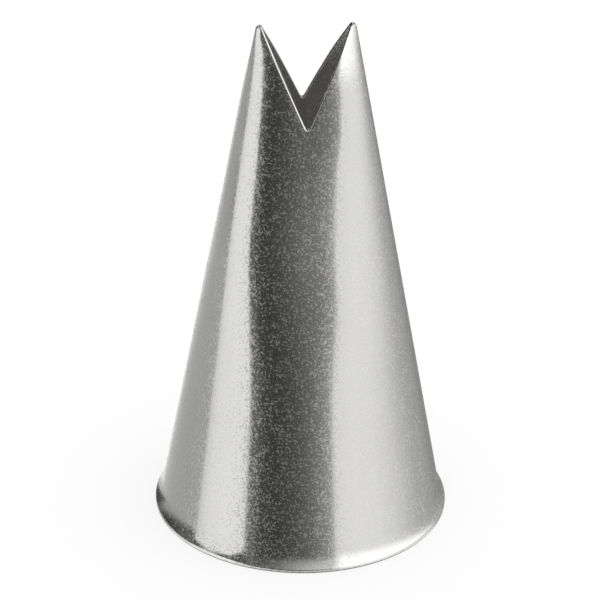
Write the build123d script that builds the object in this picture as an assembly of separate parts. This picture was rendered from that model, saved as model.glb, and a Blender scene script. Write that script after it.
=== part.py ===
from build123d import *
import math
import os

# Overall sizes of the nozzle, in millimetres
height = 31.75
rim_diameter = 17.55
wall = 0.4

# The round end: the sheet turns outward from the neck to its trimmed edge
flare_height = 1.35
flare_reach = 0.475
trimmed_edge = 0.27

# The mouth at the tips of the prongs, where the two sides nearly meet
mouth_width = 5.8
mouth_gap = 0.34

# The V through the front and the back of the mouth, and the prongs it leaves
notch_depth = 5.87
notch_root_radius = 0.12
prong_tip_width = 0.3
tip_radius = 0.08

# The seam down the back, and the bead that closes it
seam_gap = 0.6
bead_crown = 0.08
bead_root = 0.05

# How much further than the metal a cutting shape reaches
cut_overrun = 1.0

# The cone's evenly spaced slices, and how much fuller than straight its front and back stay,
# at the share of the way up where they are fullest
slice_count = 10
fullness = 0.28
fullest_share = 0.8

# Sizes that follow from the ones above
neck_diameter = rim_diameter - 2 * flare_reach
mouth_depth = mouth_gap + 2 * wall
notch_root = height - notch_depth
notch_half_width = mouth_width / 2 - prong_tip_width
notch_slope = notch_half_width / notch_depth
fullness_power = fullest_share / (1 - fullest_share)


def way_up(level):
    """The share of the way from the neck to the tips at which a level lies."""
    return (level - flare_height) / (height - flare_height)


def half_width(level):
    """The two sides run straight from the round neck to the tips."""
    share = way_up(level)
    return (neck_diameter * (1 - share) + mouth_width * share) / 2


def half_depth(level):
    """The front and back run nearly straight to the pressed mouth, a little fuller high up."""
    share = way_up(level)
    straight = (neck_diameter * (1 - share) + mouth_depth * share) / 2
    rise = (share / fullest_share) ** fullness_power
    fall = (1 - share) / (1 - fullest_share)
    return straight + fullness * rise * fall


def slice_at(level, inset):
    """One level oval slice of the cone, drawn in by the inset."""
    oval = Ellipse(half_width(level) - inset, half_depth(level) - inset)
    return Pos(0, 0, level) * oval


def cone(inset, top):
    """The closed cone from the neck up to a level, drawn in by the inset."""
    rise = (top - flare_height) / (slice_count - 1)
    levels = [flare_height + step * rise for step in range(slice_count)]
    return loft([slice_at(level, inset) for level in levels])


def flare(inset):
    """The closed round end below the neck: an arc that leaves the cone's side smoothly."""
    lean = math.atan2(neck_diameter - mouth_width, 2 * (height - flare_height))
    neck = (neck_diameter / 2 - inset, flare_height)
    lip = (rim_diameter / 2 - inset, trimmed_edge)
    foot = (rim_diameter / 2 - inset, 0)
    outline = [
        Line((0, flare_height), neck),
        TangentArc([neck, lip], tangent=(math.sin(lean), -math.cos(lean))),
        Line(lip, foot),
        Line(foot, (0, 0)),
        Line((0, 0), (0, flare_height)),
    ]
    return revolve(Plane.XZ * make_face(outline), axis=Axis.Z)


def body(inset, top):
    """The whole closed outside, drawn in by the inset."""
    return cone(inset, top) + flare(inset)


def corner(outline, point):
    """The corner of a flat outline that lies nearest to a point."""
    return outline.vertices().sort_by_distance(point)[0]


def mouth_cut():
    """What is cut away along Y: the V with its rounded root, and the space above the tips."""
    top = height + cut_overrun
    shoulder = mouth_width / 2 - tip_radius
    fall = 2 * tip_radius
    right_side = [
        (notch_half_width, height),
        (shoulder, height),
        (shoulder + fall, height - fall),
        (rim_diameter, height - fall),
        (rim_diameter, top),
    ]
    left_side = [(-across, up) for across, up in reversed(right_side)]
    outline = Polygon((0, notch_root), *right_side, *left_side, align=None)
    for side in (1, -1):
        for across in (notch_half_width, shoulder):
            tip = corner(outline, (side * across, height, 0))
            outline = fillet(tip, radius=tip_radius)
    outline = fillet(corner(outline, (0, notch_root, 0)), radius=notch_root_radius)
    return extrude(Plane.XZ * outline, amount=rim_diameter, both=True)


def seam_slab():
    """The narrow upright slab behind the axis in which the seam lies."""
    alignment = (Align.CENTER, Align.MIN, Align.MIN)
    return Box(seam_gap, rim_diameter, height, align=alignment)


def nozzle_shell():
    """The rolled, flared and pressed sheet, open at both ends, with the seam's gap."""
    sheet = body(0, height) - body(wall, height)
    return sheet - mouth_cut() - seam_slab()


def seam_weld():
    """The bead that fills the gap, a little proud of both faces, trimmed off at the rim."""
    top = notch_root + seam_gap / notch_slope + cut_overrun
    bead = body(-bead_crown, top) - body(wall + bead_root, top)
    trimmed = bead & Cylinder(rim_diameter / 2, 2 * height)
    return (trimmed & seam_slab()) - mouth_cut()


def write(name, shape):
    """Write one piece under its name and print what it measures."""
    export_step(shape, os.path.join("parts", name + ".step"))
    box = shape.bounding_box()
    print(name, "volume", round(shape.volume, 3), "from", box.min, "to", box.max)


os.makedirs("parts", exist_ok=True)
write("nozzle_shell", nozzle_shell())
write("seam_weld", seam_weld())
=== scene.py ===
# %% [markdown]
# # A sheet-steel piping nozzle with a leaf-shaped mouth
# The nozzle is one sheet of steel, rolled into a cone, turned outward at its round end, pressed
# nearly flat at its mouth and cut there with a V. A weld bead closes the sheet down the back.
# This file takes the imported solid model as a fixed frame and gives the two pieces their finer
# shape and their finish. Everything is in metres, and Z runs up the nozzle's axis.

# %% Load the frame and measure it
import math

import bpy
import numpy as np
from mathutils import Matrix, Vector


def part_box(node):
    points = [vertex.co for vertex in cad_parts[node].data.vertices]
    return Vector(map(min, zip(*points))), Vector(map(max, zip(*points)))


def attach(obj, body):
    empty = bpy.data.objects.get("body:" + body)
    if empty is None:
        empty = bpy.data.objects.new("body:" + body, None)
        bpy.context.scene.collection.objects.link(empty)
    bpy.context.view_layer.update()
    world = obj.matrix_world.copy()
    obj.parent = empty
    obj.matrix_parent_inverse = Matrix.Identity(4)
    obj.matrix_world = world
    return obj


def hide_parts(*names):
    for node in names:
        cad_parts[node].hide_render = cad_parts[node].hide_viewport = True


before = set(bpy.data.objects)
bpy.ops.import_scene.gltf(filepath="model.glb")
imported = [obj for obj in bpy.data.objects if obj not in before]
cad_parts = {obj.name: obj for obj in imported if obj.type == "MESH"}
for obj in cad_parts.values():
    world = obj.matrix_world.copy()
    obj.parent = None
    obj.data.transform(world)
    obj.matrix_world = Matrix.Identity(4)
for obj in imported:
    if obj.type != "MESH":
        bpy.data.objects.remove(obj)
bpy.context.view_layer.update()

MM = 0.001
_, shell_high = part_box("nozzle_shell")
height = shell_high.z
rim_radius = shell_high.x


def in_mm(length):
    """A length in millimetres, rounded to a thousandth, for what the cells print."""
    return round(float(length) / MM, 3)


print("the nozzle is", in_mm(height), "mm tall and", in_mm(2 * rim_radius), "mm across the rim")

# %% [markdown]
# ## The sizes of the sheet
# The height and the rim come from the frame, so the looks can never drift from the solids. The
# rest are the real sizes of the sheet metal: its thickness, how far the round end turns outward,
# and the mouth with its two prongs. Naming them here, once, keeps every later formula in words.

# %% The sheet's sizes
wall = 0.4 * MM
flare_height = 1.35 * MM
flare_reach = 0.475 * MM
trimmed_edge = 0.22 * MM
mouth_half_width = 2.9 * MM
mouth_half_depth = 0.57 * MM
fullness = 0.42 * MM
fullest_share = 0.9
notch_depth = 5.87 * MM
notch_half_width = 2.6 * MM
root_round = 0.12 * MM
tip_round = 0.2 * MM
seam_half_gap = 0.3 * MM
edge_round = 0.04 * MM
rubbed_round = 0.11 * MM
neck_radius = rim_radius - flare_reach
notch_root = height - notch_depth
notch_slope = notch_half_width / notch_depth
print("the neck is", in_mm(2 * neck_radius), "mm across")

# %% [markdown]
# ## The outside, level by level
# Cut the nozzle level anywhere and the cut is an oval. Its half width shrinks along a straight
# line from the round neck to the prongs, and its half depth along another, steeper one, because
# the sheet is pressed without being stretched. Below the neck the oval is a circle that grows
# along an arc. Short functions of the level hold all of this.

# %% Half width and half depth
side_lean = math.atan2(neck_radius - mouth_half_width, height - flare_height)
flare_drop = flare_height - trimmed_edge
flare_chord = math.atan2(flare_reach, flare_drop)
flare_radius = math.hypot(flare_reach, flare_drop) / (2 * math.sin(flare_chord - side_lean))


def way_up(level):
    """The share of the way from the neck to the tips, nought at the neck and below it."""
    return np.clip((level - flare_height) / (height - flare_height), 0, 1)


def flare(level):
    """How far the turned end stands out from the neck: an arc that starts along the cone's side,
    worked out as its radius times the change in the cosine of the arc's angle."""
    drop = np.clip(flare_height - level, 0, flare_drop)
    angle = np.arcsin(math.sin(side_lean) + drop / flare_radius)
    return flare_radius * (math.cos(side_lean) - np.cos(angle))


def half_width(level):
    """A straight line from the neck's radius to the mouth's half width, plus the flare."""
    share = way_up(level)
    return neck_radius * (1 - share) + mouth_half_width * share + flare(level)


def half_depth(level):
    """A straight line from the neck's radius to the mouth's half depth, a little fuller high up,
    where a high power of the share meets the straight fall to nothing, plus the flare."""
    share = way_up(level)
    power = fullest_share / (1 - fullest_share)
    full = fullness * (share / fullest_share) ** power * (1 - share) / (1 - fullest_share)
    return neck_radius * (1 - share) + mouth_half_depth * share + full + flare(level)


for level in (0, 10 * MM, 20 * MM, height):
    half_sizes = in_mm(half_width(level)), in_mm(half_depth(level))
    print("at", in_mm(level), "mm the half width and the half depth are", *half_sizes)

# %% [markdown]
# ## What the press leaves behind
# The press that flattens the mouth also changes the sheet in two small ways. From a third of the
# way up, the front and back are a little squarer than true ovals. And since no press is quite
# true, the sheet is twisted by up to three degrees, one way half way up and the other way beside
# the V. The outline hardly shows either, but polished steel shows both in how its reflections
# bend. Each is a number that rises and falls with the level, made of smooth steps.

# %% Squareness and twist
squared, squared_from, squared_to = 0.4, 9 * MM, 20 * MM
nipped, nipped_from, nipped_to = 0.2, height - 8.2 * MM, height - 5.7 * MM
true_oval_from = height - 3 * MM
first_lean, first_from, first_to = 0.03, 15 * MM, 18.8 * MM
second_lean, second_from, second_to = 0.085, 19.2 * MM, 28.4 * MM
straightened, straightened_from = 0.055, 27.8 * MM


def smooth_step(value, start, end):
    """An S-shaped rise from 0 to 1: three times the share squared less twice its cube."""
    share = np.clip((value - start) / (end - start), 0, 1)
    return share**2 * (3 - 2 * share)


def squareness(level):
    """The oval's power: 2 is a true oval, and more is flatter in front and behind. It rises where
    the press begins, rises again near the V's root, and is back at 2 at the tips."""
    rise = squared * smooth_step(level, squared_from, squared_to)
    rise = rise + nipped * smooth_step(level, nipped_from, nipped_to)
    return 2 + rise * (1 - smooth_step(level, true_oval_from, height))


def twist(level):
    """How far the sheet leans to the back for each step to the right: a small lean half way up,
    less a larger one beside the V, plus what brings it back to nothing at the tips."""
    first = first_lean * smooth_step(level, first_from, first_to)
    second = second_lean * smooth_step(level, second_from, second_to)
    return first - second + straightened * smooth_step(level, straightened_from, height)


def oval_depth(across, level, inset):
    """How far the oval stands in front of or behind the axis, this far from the middle: its half
    depth times the power's root of one less the power of the way to its side."""
    wide, deep = half_width(level) - inset, half_depth(level) - inset
    power = squareness(level)
    return deep * np.clip(1 - np.abs(across / wide) ** power, 0, 1) ** (1 / power)


print("near the V's root the power is", round(float(squareness(notch_root)), 2))

# %% [markdown]
# ## The outline of the cut mouth
# Seen from the front, one stamped outline makes the mouth: a V with a small round at its root,
# and a full round over each prong where the cut meets the outside. The outline is a height for
# each distance from the middle, made of an arc, a straight line and another arc.

# %% Height of the cut at a distance from the middle
notch_angle = math.atan(notch_slope)
root_centre = notch_root + root_round / math.sin(notch_angle)
root_reach = root_round * math.cos(notch_angle)
tip_centre_up = height - tip_round
flank_shift = tip_round / math.cos(notch_angle)
tip_centre_out = (tip_centre_up - notch_root) * notch_slope + flank_shift
side_touch = tip_centre_out + tip_round * math.cos(side_lean)
flank_touch = tip_centre_out - tip_round * math.cos(notch_angle)
hair = 0.002 * MM
print("the prongs' rounds are centred", in_mm(tip_centre_out), "mm from the middle")


def cut_height(across):
    """The level of the cut above a point that lies this far from the middle plane: the root's arc
    near the middle, then the straight flank, then the tip's arc, and nothing is cut beyond it."""
    out = np.abs(across)
    root = root_centre - np.sqrt(np.clip(root_round**2 - out**2, 0, None))
    flank = notch_root + out / notch_slope
    tip = tip_centre_up + np.sqrt(np.clip(tip_round**2 - (out - tip_centre_out) ** 2, 0, None))
    made = np.where(out < root_reach, root, flank)
    made = np.where(out > flank_touch, tip, made)
    return np.where(out > side_touch, height + flare_height, made)


def cut_steepness(across):
    """How steeply the cut climbs there, from two heights a hair apart."""
    near = np.minimum(np.abs(across), side_touch - hair)
    return (cut_height(near + hair / 2) - cut_height(np.abs(near - hair / 2))) / hair

# %% [markdown]
# ## A grid on the sheet
# The sheet is drawn as a grid: columns run up the sheet, and rows run round it from one side of
# the seam to the other. A column is a place round the oval, drawn together where the V has its
# roots, because the small round there needs them. Each column climbs until it meets the cut.

# %% Where the columns run
column_count = 640
crowding = 0.5
halvings = 48
column_share = np.linspace(0, 1, column_count + 1)
column_place = column_share - crowding / (4 * math.pi) * np.sin(4 * math.pi * column_share)


def point_on(place, level, inset):
    """The oval at that level, drawn in by the inset and twisted. The place runs from 0 at the
    seam's right edge round the front to 1 at its left edge; those edges stay equally far apart."""
    wide = half_width(level) - inset
    seam_angle = np.arcsin(np.clip(seam_half_gap / wide, 0, 1))
    turn = math.pi / 2 - seam_angle - place * (2 * math.pi - 2 * seam_angle)
    across = wide * np.cos(turn)
    behind = np.sign(np.sin(turn)) * oval_depth(across, level, inset) + twist(level) * across
    return np.stack([across, behind, level + 0 * turn], -1)


def column_top(inset):
    """The level at which each column meets the cut, found by halving the stretch it lies in."""
    low = np.full(column_count + 1, flare_height)
    high = np.full(column_count + 1, height)
    for _ in range(halvings):
        middle = (low + high) / 2
        under = cut_height(point_on(column_place, middle, inset)[:, 0]) > middle
        low, high = np.where(under, middle, low), np.where(under, high, middle)
    return (low + high) / 2


outer_top = column_top(0.0)
inner_top = column_top(wall)
print("columns climb to between", in_mm(outer_top.min()), "and", in_mm(outer_top.max()), "mm")

# %% [markdown]
# ## The rows of the sheet
# A section through the sheet is a long thin loop: up the outside, over the cut edge, down the
# inside and back under the foot. Real cut metal has no knife edges, since each is tumbled or
# brushed after stamping, so every corner is a short curve. It is pulled towards the sharp corner
# but never reaches it, which also keeps the looks inside the solid's box.

# %% Rounded corners and the profile of the turned end
corner_steps = np.linspace(0, 1, 5)
foot_round = 2 * edge_round


def round_corner(start, corner, end):
    """Points of the curve from start to end that leans towards the corner: start, corner and end
    in the shares (1-s) squared, 2s(1-s) and s squared."""
    share = corner_steps.reshape((-1,) + (1,) * np.ndim(start))
    return (1 - share) ** 2 * start + 2 * share * (1 - share) * corner + share**2 * end


def turned_end(inset, flare_rows):
    """Radius and level from the foot up to just under the neck, with both corners rounded."""
    radius = rim_radius - inset
    under_foot = radius + (foot_round if inset else -foot_round)
    foot = round_corner(
        np.array([under_foot, 0.0]), np.array([radius, 0.0]), np.array([radius, foot_round])
    )
    lip_level = trimmed_edge + edge_round
    levels = np.linspace(lip_level, flare_height, flare_rows + 1)[:-1]
    arc = np.stack([neck_radius - inset + flare(levels), levels], -1)
    below = np.array([radius, trimmed_edge - edge_round])
    lip = round_corner(below, np.array([radius, trimmed_edge]), arc[0])
    return np.concatenate([foot, lip, arc[1:]])


def ring_rows(profile, inset):
    """A ring round the axis for each radius and level, broken at the seam like the columns."""
    radius, level = profile[:, :1], profile[:, 1:]
    seam_angle = np.arcsin(seam_half_gap / radius)
    turn = math.pi / 2 - seam_angle - column_place * (2 * math.pi - 2 * seam_angle)
    return np.stack([radius * np.cos(turn), radius * np.sin(turn), level + 0 * turn], -1)


outer_end = turned_end(0.0, 14)
inner_end = turned_end(wall, 8)
print(len(outer_end), "rows on the outside of the turned end and", len(inner_end), "inside")

# %% [markdown]
# ## The cone and the cut edge
# Where the V and the tips are cut, the outside ends in a small round, then comes the cut face, as
# wide as the wall, and then the inside's small round. On the left prong the outer edge is rubbed
# rounder than the rest, which gives it a broader highlight. The rounds are measured square to the
# cut, so each column stops short of it by a drop that depends on how steeply the cut climbs.

# %% Rows of the cone, the cut edge and the whole loop
outside_rows, inside_rows = 54, 30
row_crowding = 1.15
least_climb, most_climb = -1, 4
cut_steps = (0.2, 0.4, 0.6, 0.8)
rubbed_within = 0.25 * MM


def cone_rows(top, inset, count, drop):
    """Rows from the neck to a drop below the cut, closer together near the neck."""
    share = np.linspace(0, 1, count)[:, None] ** row_crowding
    level = flare_height + share * (top - drop - flare_height)
    return point_on(column_place[None, :] + 0 * level, level, inset)


def drop_below(top, inset, rounding):
    """How far down a column lies one rounding from the cut, measured square to the cut."""
    across = point_on(column_place, top, inset)[:, 0]
    climb = np.clip(cut_steepness(across), least_climb, most_climb)
    closing = math.tan(side_lean) * np.abs(across) / half_width(top)
    return rounding * np.sqrt(1 + climb**2) / np.clip(1 + climb * closing, 0.5, None)


def over_the_cut(share):
    """The cut face between the outside and the inside edge: straight across the wall when seen
    from above, and at the cut's own height all the way."""
    start = point_on(column_place, outer_top, 0.0)
    end = point_on(column_place, inner_top, wall)
    share = np.broadcast_to(share, column_place.shape)[:, None]
    across = start * (1 - share) + end * share
    across[:, 2] = np.minimum(cut_height(across[:, 0]), height)
    return across


def rounding_at(across):
    """The round of the cut's outer edge: the left prong's is rubbed rounder than the right's."""
    return edge_round + (rubbed_round - edge_round) * smooth_step(-across, 0.0, rubbed_within)


outer_round = rounding_at(point_on(column_place, outer_top, 0.0)[:, 0])
outer_drop = drop_below(outer_top, 0.0, outer_round)
inner_drop = drop_below(inner_top, wall, edge_round)
outer_share, inner_share = outer_round / wall, 1 - edge_round / wall
outer_cone = cone_rows(outer_top, 0.0, outside_rows, outer_drop)
inner_cone = cone_rows(inner_top, wall, inside_rows, inner_drop)
outer_corner = round_corner(outer_cone[-1], over_the_cut(0.0), over_the_cut(outer_share))
inner_corner = round_corner(over_the_cut(inner_share), over_the_cut(1.0), inner_cone[-1])
cut_face = np.stack([
    over_the_cut(outer_share * (1 - step) + inner_share * step) for step in cut_steps
])
loop = np.concatenate([
    ring_rows(outer_end, 0.0), outer_cone, outer_corner[1:], cut_face,
    inner_corner, inner_cone[-2::-1], ring_rows(inner_end[::-1], wall),
])
print("the loop has", loop.shape[0], "rows of", loop.shape[1], "points")

# %% [markdown]
# ## From grid to mesh
# A grid becomes a mesh by joining each point to its neighbours. Here the rows close into a loop,
# and the two ends of the loop, at the seam, are closed with one flat face each. The faces are
# shaded smooth except where they meet at a sharp angle, which is only at the seam.

# %% Make a mesh from a grid
sharp_angle = math.radians(40)


def grid_faces(rows, columns):
    """Four-cornered faces between neighbours, where the last row meets the first again."""
    row = np.arange(rows)[:, None]
    column = np.arange(columns - 1)[None, :]
    here, above = row * columns + column, (row + 1) % rows * columns + column
    return np.stack([here, above, above + 1, here + 1], -1).reshape(-1, 4)


def tube_mesh(name, points):
    """A closed mesh from a loop of rows, with a flat face over each end of its columns."""
    rows, columns, _ = points.shape
    faces = grid_faces(rows, columns)
    first = (np.arange(rows) * columns).tolist()
    last = (np.arange(rows) * columns + columns - 1)[::-1].tolist()
    mesh = bpy.data.meshes.new(name)
    mesh.from_pydata(points.reshape(-1, 3), [], faces.tolist() + [first, last])
    mesh.polygons.foreach_set("use_smooth", np.ones(len(mesh.polygons), bool))
    mesh.set_sharp_from_angle(angle=sharp_angle)
    mesh.update()
    return mesh


def inside_volume(mesh):
    """The signed volume inside a closed mesh, a sixth of the sum of its triangles' triple
    products. It is positive when the faces look outward."""
    mesh.calc_loop_triangles()
    spots = np.empty(len(mesh.vertices) * 3)
    mesh.vertices.foreach_get("co", spots)
    corners = np.empty(len(mesh.loop_triangles) * 3, int)
    mesh.loop_triangles.foreach_get("vertices", corners)
    a, b, c = spots.reshape(-1, 3)[corners].reshape(-1, 3, 3).transpose(1, 0, 2)
    return float((a * np.cross(b, c)).sum() / 6)


def place_piece(name, mesh, node):
    """An object that rides on the nozzle's body and stands for the solid of that node."""
    thing = bpy.data.objects.new(name, mesh)
    bpy.context.scene.collection.objects.link(thing)
    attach(thing, "root")
    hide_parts(node)
    volume = round(inside_volume(mesh) / MM**3, 2)
    print(name, "has", len(mesh.loop_triangles), "triangles and", volume, "cubic mm")


sheet = tube_mesh("formed_sheet", loop)
place_piece("formed_sheet", sheet, "nozzle_shell")

# %% [markdown]
# ## How near each point is to an edge
# Handling and cleaning rub a nozzle bright along its edges first. The mesh knows how far each
# point is from the cut and from the trimmed rim, so that distance is stored on it as a number
# between 0 and 1, for the steel's finish to read. Which side of the sheet a point is on is
# stored in the same way, because the inside has a duller finish.

# %% Store the nearness to an edge, and the side, on the sheet
worn_reach = 0.12 * MM
steepest_worn = 3


def nearness(points):
    """One at an edge and falling off with the distance to it: the larger of a fall from the cut
    outline and a fall from the trimmed rim, each an exponential of minus distance over reach."""
    up = cut_height(points[:, 0]) - points[:, 2]
    climb = np.clip(cut_steepness(points[:, 0]), 0, steepest_worn)
    from_cut = np.clip(up, 0, None) / np.sqrt(1 + climb**2)
    from_rim = np.clip(points[:, 2] - trimmed_edge, 0, None)
    return np.maximum(np.exp(-from_cut / worn_reach), np.exp(-from_rim / worn_reach))


def store(mesh, name, values):
    """One number for each point of the mesh, under a name that materials can read."""
    attribute = mesh.attributes.new(name, "FLOAT", "POINT")
    attribute.data.foreach_set("value", np.asarray(values, np.float32).ravel())


worn = nearness(loop.reshape(-1, 3))
rows_outside = len(outer_end) + len(outer_cone)
rows_in_cut = len(outer_corner) + len(cut_face) + len(inner_corner) - 2
row_number = np.arange(loop.shape[0])[:, None] + np.zeros(loop.shape[1])
store(sheet, "edge_nearness", worn)
store(sheet, "inside", row_number >= rows_outside + rows_in_cut)
print("edge nearness runs from", round(float(worn.min()), 3), "to", round(float(worn.max()), 3))

# %% [markdown]
# ## The weld bead
# The bead is a strip of once-molten metal that fills the seam. As the weld moved along, it froze
# in small overlapping arcs, which show as fine curved ripples. The strip follows the same level
# ovals as the sheet, swells outward in its middle, and is dressed flush at both of its ends.

# %% The bead's surface
bead_rows = 620
bead_columns = 13
bead_crown = 0.05 * MM
ripple_depth = 0.005 * MM
ripple_pitch = 0.28 * MM
ripple_bend = 0.9
dressed_from, dressed_to = 0.1 * MM, 1.0 * MM
dressed_below_root = 0.9 * MM
bead_across = np.linspace(-seam_half_gap, seam_half_gap, bead_columns)
to_bead_edge = (bead_across / seam_half_gap) ** 2


def swell(level):
    """The middle of the bead stands highest: one less the square of the way to its edge, and
    nothing at the foot and at the V's root, where it is dressed flush."""
    from_foot = smooth_step(level, dressed_from, dressed_to)
    to_root = 1 - smooth_step(level, notch_root - dressed_below_root, notch_root)
    return (1 - to_bead_edge) * from_foot * to_root


def ripples(level):
    """Small waves along the bead, bent into arcs by the square of the way to its edge."""
    return np.cos(2 * math.pi * (level / ripple_pitch + ripple_bend * to_bead_edge))


def seam_depth(level, inset):
    """How far behind the axis the sheet would stand there, if it had no seam."""
    return oval_depth(bead_across, level, inset) + twist(level) * bead_across


def bead_face(inset, crown, waves, rounding):
    """One face of the bead: the oval moved out by the swell and its ripples, from the foot up to
    one rounding below the cut, and then over the edge in the same curve as the sheet's."""
    top = cut_height(bead_across)
    climb = np.clip(cut_steepness(bead_across), least_climb, most_climb)
    level = np.linspace(0, 1, bead_rows)[:, None] * (top - rounding * np.sqrt(1 + climb**2))
    depth = seam_depth(level, inset) + swell(level) * (crown + waves * ripples(level))
    depth = np.minimum(depth, np.sqrt(rim_radius**2 - bead_across**2))
    face = np.stack([bead_across + 0 * level, depth, level], -1)
    corner = np.stack([bead_across, seam_depth(top, inset), top], -1)
    inward = np.stack([0 * top, (1 if inset else -1) * rounding + 0 * top, 0 * top], -1)
    return np.concatenate([face, round_corner(face[-1], corner, corner + inward)[1:]])


bead_out = bead_face(0.0, bead_crown, ripple_depth, rounding_at(bead_across))
bead_in = bead_face(wall, 0.0, 0.0, edge_round)
bead_loop = np.concatenate([bead_out, bead_in[::-1]])
bead_mesh = tube_mesh("weld_bead", bead_loop)
place_piece("weld_bead", bead_mesh, "seam_weld")

# %% [markdown]
# ## Where the weld's heat reached
# Welding heats a narrow strip of the sheet as well as the bead. How strongly is stored on both
# meshes, on the outside only, so that the two materials agree along the seam.

# %% Store the heat, and the bead's side
heated_within, heated_to = 0.2 * MM, 1.1 * MM


def heated(points, outside):
    """One beside the seam on the outside at the back, fading over a millimetre of width."""
    beside = 1 - smooth_step(np.abs(points[..., 0]), heated_within, heated_to)
    return beside * (points[..., 1] > 0) * outside


bead_row = np.arange(len(bead_loop))[:, None] + np.zeros(bead_columns)
store(sheet, "heat_beside_seam", heated(loop, row_number < rows_outside))
store(bead_mesh, "heat_beside_seam", heated(bead_loop, bead_row < len(bead_out)))
store(bead_mesh, "inside", bead_row >= len(bead_out))
print("heat and side are stored for", len(sheet.vertices) + len(bead_mesh.vertices), "points")

# %% [markdown]
# ## Node helpers
# A material is a small network of nodes. A few helpers keep the network readable: they add a
# node with its settings and inputs, do a sum, ease between two values and blend two colours.

# %% Helpers for nodes


def add_node(tree, kind, settings=None, **inputs):
    """A node of that kind, with its settings and its inputs filled in or joined. An input goes by
    its name, with a low line for a space, or by a low line and its number."""
    node = tree.nodes.new(kind)
    for name, value in (settings or {}).items():
        setattr(node, name, value)
    for name, value in inputs.items():
        key = int(name[1:]) if name[0] == "_" else name.replace("_", " ")
        if isinstance(value, bpy.types.NodeSocket):
            tree.links.new(value, node.inputs[key])
        else:
            node.inputs[key].default_value = value
    return node


def maths(tree, operation, first, second=0.0, third=0.0):
    """The result of one sum on two or three values or sockets."""
    settings = {"operation": operation}
    return add_node(tree, "ShaderNodeMath", settings, _0=first, _1=second, _2=third).outputs[0]


def ease(tree, value, start, end, low=0.0, high=1.0):
    """A smooth step: low before start, high after end, and an S-shaped rise between."""
    node = add_node(tree, "ShaderNodeMapRange", {"interpolation_type": "SMOOTHSTEP"}, Value=value)
    for name, number in zip(("From Min", "From Max", "To Min", "To Max"), (start, end, low, high)):
        node.inputs[name].default_value = number
    return node.outputs["Result"]


def blend_colours(tree, share, first, second):
    """The first colour where the share is 0 and the second where it is 1."""
    node = add_node(tree, "ShaderNodeMix", {"data_type": "RGBA"}, _0=share, _6=first, _7=second)
    return node.outputs[2]


def grey(bright):
    """A neutral grey as a colour."""
    return (bright, bright, bright, 1.0)


def steel_grey(bright):
    """The grey of stainless steel as a colour: a hair warmer than neutral."""
    return (bright, bright - 0.005, bright - 0.02, 1.0)

# %% [markdown]
# ## Reading the surface
# Every pattern here is noise on the object's own coordinates, so it is the same from every side
# and stays put when the view turns, and every mask is a number that was stored on the mesh.

# %% Helpers for patterns, masks and groups
FLOAT, COLOUR = "NodeSocketFloat", "NodeSocketColor"


def noise(tree, scale, detail):
    """Noise on the object's own coordinates, so many waves to the metre."""
    place = add_node(tree, "ShaderNodeTexCoord").outputs["Object"]
    return add_node(
        tree, "ShaderNodeTexNoise", Vector=place, Scale=scale, Detail=detail
    ).outputs["Fac"]


def stored(tree, name):
    """A number that was stored on the mesh for each of its points."""
    return add_node(tree, "ShaderNodeAttribute", {"attribute_name": name}).outputs["Fac"]


def new_group(name, inputs, outputs):
    """An empty node group with named sockets, its tree, and its two end nodes."""
    tree = bpy.data.node_groups.new(name, "ShaderNodeTree")
    for label, kind, value in inputs:
        socket = tree.interface.new_socket(label, in_out="INPUT", socket_type=kind)
        socket.default_value = value
    for label, kind in outputs:
        tree.interface.new_socket(label, in_out="OUTPUT", socket_type=kind)
    return tree, tree.nodes.new("NodeGroupInput"), tree.nodes.new("NodeGroupOutput")

# %% [markdown]
# ## The pebbled grain
# Close up, pressed sheet isn't a mirror. Its grains rise and sink a little, like the skin of an
# orange, about a tenth of a millimetre apart. Over a bright reflection this can hardly be seen,
# but in a dark one the tops of the pebbles catch light from all round, and the metal sparkles.
# The grain is noise, one size inside another, and a slow cloud makes some places sparkle more.
# The sheet and the weld both have it, so it is a group with its own inputs.

# %% Group: pebbled grain
fine_per_coarse = 2.3
clouds_per_metre, cloud_share = 1500.0, 0.25
sparkle_from, sparkle_to = 0.89, 1.14
grain, grain_in, grain_out = new_group(
    "pebbled_grain",
    [("Pebbles per metre", FLOAT, 9000.0), ("Fine share", FLOAT, 0.35)],
    [("Height", FLOAT), ("Sparkle", FLOAT)],
)
pebble_scale = grain_in.outputs["Pebbles per metre"]
coarse = noise(grain, pebble_scale, 1.0)
fine = noise(grain, maths(grain, "MULTIPLY", pebble_scale, fine_per_coarse), 1.0)
fine_part = maths(grain, "MULTIPLY", fine, grain_in.outputs["Fine share"])
pebble_height = maths(grain, "ADD", coarse, fine_part)
cloud = noise(grain, clouds_per_metre, 2.0)
clouded = maths(grain, "MULTIPLY_ADD", cloud, cloud_share, pebble_height)
sparkle = ease(grain, clouded, sparkle_from, sparkle_to)
grain.links.new(pebble_height, grain_out.inputs["Height"])
grain.links.new(sparkle, grain_out.inputs["Sparkle"])
print("pebbled_grain has", len(grain.nodes), "nodes")

# %% [markdown]
# ## The heat tint
# Welding leaves a thin oxide beside the seam, straw yellow near the bead and gone a millimetre
# away. It is left on the outside only, because the inside is pickled clean after welding. Noise
# makes its edge uneven. Both materials use the group, each with its own strength.

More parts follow.
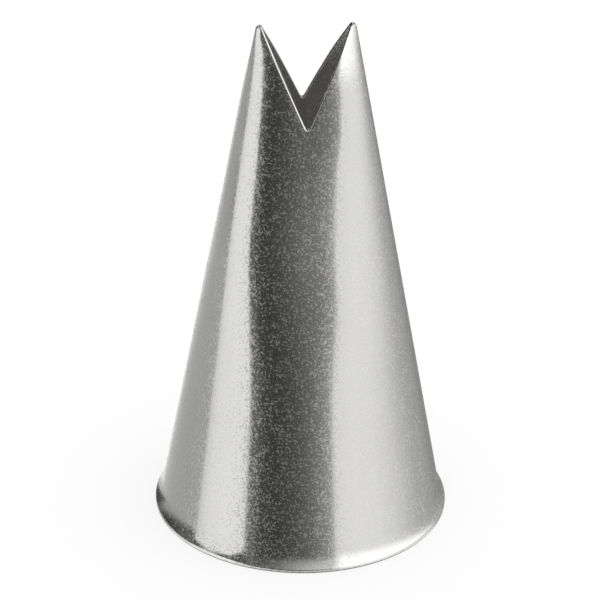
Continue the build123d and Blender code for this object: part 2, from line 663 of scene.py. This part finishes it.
# %% Group: heat tint
wobbles_per_metre, wobble, wobble_floor = 420.0, 1.2, 0.4
straw = (0.62, 0.5, 0.3, 1.0)
tint, tint_in, tint_out = new_group(
    "heat_tint",
    [("Colour", COLOUR, grey(0.7)), ("Strength", FLOAT, 0.3)],
    [("Colour", COLOUR)],
)
wobbled = maths(tint, "MULTIPLY_ADD", noise(tint, wobbles_per_metre, 2.0), wobble, wobble_floor)
uneven = maths(tint, "MULTIPLY", stored(tint, "heat_beside_seam"), wobbled)
mask = maths(tint, "MULTIPLY", uneven, tint_in.outputs["Strength"])
tint.links.new(
    blend_colours(tint, mask, tint_in.outputs["Colour"], straw), tint_out.inputs["Colour"]
)
print("heat_tint has", len(tint.nodes), "nodes")

# %% [markdown]
# ## The steel
# Stainless steel is all reflection: its base colour is the tint of its mirror, a light grey that
# is barely warm. The roughness is low, a little higher in faint patches left by washing, lower on
# worn edges, and much higher on the pebbles that sparkle. Those sparkling pebbles are also given a
# paler grey, a painted glint that keeps them bright. The inside is pickled, not polished, so
# it is paler and duller. The grain lifts the surface by about two thousandths of a millimetre
# through a Bump node, which needs no extra mesh.

# %% Material: steel
washed_patches_per_metre = 260.0
polished, washed_rise, sparkle_rise, worn_change, pickled_rise = 0.035, 0.03, 0.34, -0.02, 0.2
# How far towards a paler grey the painted glints on the sparkling pebbles go
painted_glint_share = 0.3
grain_lift = 0.0022 * MM


def new_material(name):
    """An empty metal material: a Principled shader joined to its output, and its tree."""
    material = bpy.data.materials.new(name)
    material.use_nodes = True
    tree = material.node_tree
    tree.nodes.clear()
    shader = add_node(tree, "ShaderNodeBsdfPrincipled", Metallic=1.0)
    add_node(tree, "ShaderNodeOutputMaterial", Surface=shader.outputs["BSDF"])
    return material, tree, shader


def use_group(tree, group, **inputs):
    """A copy of a shared group in a material, with this material's own values."""
    return add_node(tree, "ShaderNodeGroup", {"node_tree": group}, **inputs)


def lift_surface(tree, shader, height_socket, distance):
    """Bend the shader's normal as if the height stood this far out of the surface."""
    bump = add_node(tree, "ShaderNodeBump", Strength=1.0, Distance=distance, Height=height_socket)
    tree.links.new(bump.outputs["Normal"], shader.inputs["Normal"])


steel, tree, shader = new_material("steel")
pebbles = use_group(tree, grain, Pebbles_per_metre=7500.0, Fine_share=0.65)
washed = noise(tree, washed_patches_per_metre, 3.0)
near_edge, inside = stored(tree, "edge_nearness"), stored(tree, "inside")
plain_steel = blend_colours(tree, washed, steel_grey(0.69), steel_grey(0.74))
rubbed_steel = blend_colours(tree, near_edge, plain_steel, steel_grey(0.84))
# Painted glints: the sparkling pebbles get a paler base colour, so they stay bright where their
# rough tops would dim a bright reflection
painted_glint_mask = maths(tree, "MULTIPLY", pebbles.outputs["Sparkle"], painted_glint_share)
steel_with_painted_glints = blend_colours(tree, painted_glint_mask, rubbed_steel, steel_grey(0.88))
pickled_steel = blend_colours(tree, inside, steel_with_painted_glints, (0.80, 0.79, 0.77, 1.0))
tinted = use_group(tree, tint, Colour=pickled_steel, Strength=0.22)
tree.links.new(tinted.outputs["Colour"], shader.inputs["Base Color"])
roughness = maths(tree, "MULTIPLY_ADD", washed, washed_rise, polished)
roughness = maths(tree, "MULTIPLY_ADD", pebbles.outputs["Sparkle"], sparkle_rise, roughness)
roughness = maths(tree, "MULTIPLY_ADD", near_edge, worn_change, roughness)
roughness = maths(tree, "MULTIPLY_ADD", inside, pickled_rise, roughness)
tree.links.new(roughness, shader.inputs["Roughness"])
lift_surface(tree, shader, pebbles.outputs["Height"], grain_lift)
sheet.materials.append(steel)
print("steel has", len(tree.nodes), "nodes")

# %% [markdown]
# ## The weld metal
# The bead froze from molten metal, so it is rougher and more mottled than the rolled sheet and
# keeps more of the heat's colour. It has the same pebbled grain, but finer.

# %% Material: weld metal
mottles_per_metre = 1500.0
frozen, mottle_rise, dressed_rise = 0.18, 0.2, 0.14
weld_grain_lift = 0.003 * MM
weld, tree, shader = new_material("weld_metal")
pebbles = use_group(tree, grain, Pebbles_per_metre=13000.0, Fine_share=0.5)
mottle = noise(tree, mottles_per_metre, 2.0)
inside = stored(tree, "inside")
mottled = blend_colours(tree, mottle, (0.56, 0.55, 0.53, 1.0), (0.72, 0.705, 0.68, 1.0))
dressed = blend_colours(tree, inside, mottled, steel_grey(0.73))
tinted = use_group(tree, tint, Colour=dressed, Strength=0.3)
tree.links.new(tinted.outputs["Colour"], shader.inputs["Base Color"])
roughness = maths(tree, "MULTIPLY_ADD", mottle, mottle_rise, frozen)
roughness = maths(tree, "MULTIPLY_ADD", inside, dressed_rise, roughness)
tree.links.new(roughness, shader.inputs["Roughness"])
lift_surface(tree, shader, pebbles.outputs["Height"], weld_grain_lift)
bead_mesh.materials.append(weld)
print("weld_metal has", len(tree.nodes), "nodes")

# %% [markdown]
# ## The room
# Polished metal shows the room, so the room is part of the look. The nozzle stands in a white
# studio: a large soft panel on its left and another on its right, a grey room behind, and
# between the panels, in front, the dark gap where the camera stands. For light that falls on the
# floor and for the camera the room is plain white. Only reflected rays see the panels, and each
# place round the room is a stop on a ramp that is read by compass direction.

# %% World: panels by compass direction
world = bpy.data.worlds.new("studio")
bpy.context.scene.world = world
world.use_nodes = True
tree = world.node_tree
tree.nodes.clear()
# Compass direction in degrees, 0 in front and growing to the right, and how bright it is there
room = [
    (-180, 1.2), (-168, 0.8), (-156, 0.56), (-140, 0.47), (-118, 0.43), (-95, 0.45),
    (-93, 0.84), (-84, 0.96), (-66, 1.02), (-49.5, 1.0), (-47.5, 0.18), (-41, 0.13), (-36, 0.065),
    (-24, 0.05), (-8, 0.085), (4, 0.155), (14, 0.26), (21, 0.4), (24, 0.94), (42, 0.98),
    (60, 0.94), (76, 0.83), (92, 0.65), (106, 0.51), (128, 0.41), (146, 0.30), (160, 0.27),
    (172, 0.32), (180, 1.2),
]
direction = add_node(tree, "ShaderNodeTexCoord").outputs["Generated"]
parts = add_node(tree, "ShaderNodeSeparateXYZ", Vector=direction)
backward = maths(tree, "MULTIPLY", parts.outputs["Y"], -1.0)
compass = maths(tree, "ARCTAN2", parts.outputs["X"], backward)
upward = parts.outputs["Z"]
compass_share = maths(tree, "MULTIPLY_ADD", compass, 1 / (2 * math.pi), 0.5)
ramp = add_node(tree, "ShaderNodeValToRGB", Fac=compass_share)
stops = ramp.color_ramp.elements
while len(stops) < len(room):
    stops.new(0.5)
for stop, (degrees, bright) in zip(stops, room):
    stop.position = degrees / 360 + 0.5
    stop.color = grey(bright)
print("the room has", len(stops), "stops")

# %% [markdown]
# ## The room's tops and bottoms
# The panels, the gap and the table have tops and bottoms too, and the round parts of the nozzle
# show them: the flare looks up at the lamps, and the sides look past the panels into the corners
# of the room. Each of these places is a mask, made where a window of compass directions and a
# rise in height meet, and a light that is laid over the ramp where the mask is 1.

# %% World: helpers for masks


def window(value, start, end, soft):
    """One between start and end, and nought outside, with soft ends."""
    rise = ease(tree, value, start - soft, start + soft)
    fall = ease(tree, value, end - soft, end + soft, 1.0, 0.0)
    return meet(rise, fall)


def meet(first, second):
    """The product of two masks, which is one only where both are."""
    return maths(tree, "MULTIPLY", first, second)


def facing(start, end, soft):
    """A window of compass directions, in degrees."""
    return window(compass, *np.radians((start, end, soft)).tolist())


def turning(start, end):
    """A smooth rise from one compass direction to another, in degrees."""
    return ease(tree, compass, math.radians(start), math.radians(end))


def rising(start, end):
    """A smooth rise from one height to another, where 0 is level and 1 is straight up."""
    return ease(tree, upward, start, end)

# %% World: the lamps, the dark places and the table
right_lamp = meet(facing(24, 150, 8), rising(-0.03, 0.33))
front_wall = meet(facing(-44, 24, 6), rising(0.05, 0.5))
front_light = blend_colours(tree, turning(-34, 18), grey(0.12), grey(0.62))
# The left panel's top edge hangs lower at both of its corners
panel_height = maths(tree, "MULTIPLY_ADD", turning(-78, -94), 0.2, upward)
panel_height = maths(tree, "MULTIPLY_ADD", turning(-62, -46), 0.27, panel_height)
above_left_panel = meet(facing(-97, -46, 2), ease(tree, panel_height, 0.34, 0.41))
dark_side = meet(turning(-158, -128), turning(-90, -94))
dark_screen = meet(dark_side, meet(rising(-0.28, 0.04), rising(0.58, 0.42)))
screen_light = blend_colours(tree, turning(-126, -92), grey(0.045), grey(0.14))
far_left = meet(facing(-172, -140, 6), rising(-0.35, -0.28))
far_right = meet(facing(160, 200, 8), window(upward, 0.3, 0.62, 0.06))
far_corners = maths(tree, "ADD", far_left, far_right)
table = meet(facing(-130, 130, 6), rising(-0.41, -0.46))
table_shade = maths(tree, "MULTIPLY", facing(-38, 26, 22), 0.5)
table_light = blend_colours(tree, table_shade, grey(0.95), grey(0.25))
ceiling, under_table = rising(0.6, 0.8), rising(-0.55, -0.75)
print("with its masks the world has", len(tree.nodes), "nodes")

# %% World: lay the lights over the ramp
layers = [
    (right_lamp, grey(1.5)), (front_wall, front_light), (above_left_panel, grey(0.1)),
    (dark_screen, screen_light), (ceiling, grey(0.7)), (far_corners, grey(0.06)),
    (table, table_light), (under_table, grey(0.12)),
]
lit = ramp.outputs["Color"]
for mask, light in layers:
    lit = blend_colours(tree, mask, lit, light)
light_path = add_node(tree, "ShaderNodeLightPath")
seen = blend_colours(tree, light_path.outputs["Is Glossy Ray"], grey(1.0), lit)
background = add_node(tree, "ShaderNodeBackground", Color=seen, Strength=1.0)
add_node(tree, "ShaderNodeOutputWorld", Surface=background.outputs["Background"])
print("the world has", len(tree.nodes), "nodes")

# %% [markdown]
# ## The floor
# The nozzle stands on a white sweep. Part of the floor's white is its own, seen by the camera
# alone, and part is light that it catches, so the soft shadow round the foot stays but is faint.

# %% Floor
floor_half = 0.7
floor_level = -0.01 * MM
caught_light, own_light = 0.4, 0.62
sides = ((-1, -1), (1, -1), (1, 1), (-1, 1))
floor_mesh = bpy.data.meshes.new("floor")
floor_corners = [(x * floor_half, y * floor_half, floor_level) for x, y in sides]
floor_mesh.from_pydata(floor_corners, [], [(0, 1, 2, 3)])
floor = bpy.data.objects.new("floor", floor_mesh)
bpy.context.scene.collection.objects.link(floor)
floor.visible_glossy = False
white = bpy.data.materials.new("white_sweep")
white.use_nodes = True
tree = white.node_tree
tree.nodes.clear()
catching = add_node(tree, "ShaderNodeBsdfDiffuse", Color=grey(caught_light))
to_camera = add_node(tree, "ShaderNodeLightPath").outputs["Is Camera Ray"]
glowing = add_node(tree, "ShaderNodeEmission", Color=grey(own_light), Strength=to_camera)
sweep = add_node(tree, "ShaderNodeAddShader", _0=catching.outputs[0], _1=glowing.outputs[0])
add_node(tree, "ShaderNodeOutputMaterial", Surface=sweep.outputs[0])
floor_mesh.materials.append(white)
print("the floor is", 2 * floor_half, "m across")

# %% [markdown]
# ## The camera
# The view is from above the front and a little to the left, through a long lens, with the camera
# about nine nozzle heights away. The camera is turned a hair about its own axis, so the nozzle
# leans slightly in the picture.

# %% Camera
aim = Vector((-0.162 * MM, 0.0, 13.641 * MM))
distance = 281.12 * MM
raised = math.radians(29.011)
to_the_left = math.radians(4.849)
roll = math.radians(0.697)
flat = math.cos(raised)
back = Vector((-math.sin(to_the_left) * flat, -math.cos(to_the_left) * flat, math.sin(raised)))
level_right = back.cross(Vector((0, 0, 1))).normalized() * -1
level_up = back.cross(level_right)
right = level_right * math.cos(roll) + level_up * math.sin(roll)
up = level_up * math.cos(roll) - level_right * math.sin(roll)
camera_data = bpy.data.cameras.new("camera")
camera_data.sensor_width = 36.0
camera_data.lens = 284.1
camera_data.clip_start, camera_data.clip_end = 0.01, 10.0
camera = bpy.data.objects.new("camera", camera_data)
bpy.context.scene.collection.objects.link(camera)
turned = Matrix((right, up, back)).transposed().to_4x4()
camera.matrix_world = Matrix.Translation(aim + back * distance) @ turned
bpy.context.scene.camera = camera
bpy.context.scene.view_settings.view_transform = "Standard"
print("the camera stands", round(distance / height, 1), "nozzle heights away")

# %% [markdown]
# ## Bring the scene up to date
# The looks have to be as large as the solids they stand for.
# The looks have to be as large as the solids they stand for, so both sizes are written down.

# %% Update the scene
bpy.context.view_layer.update()
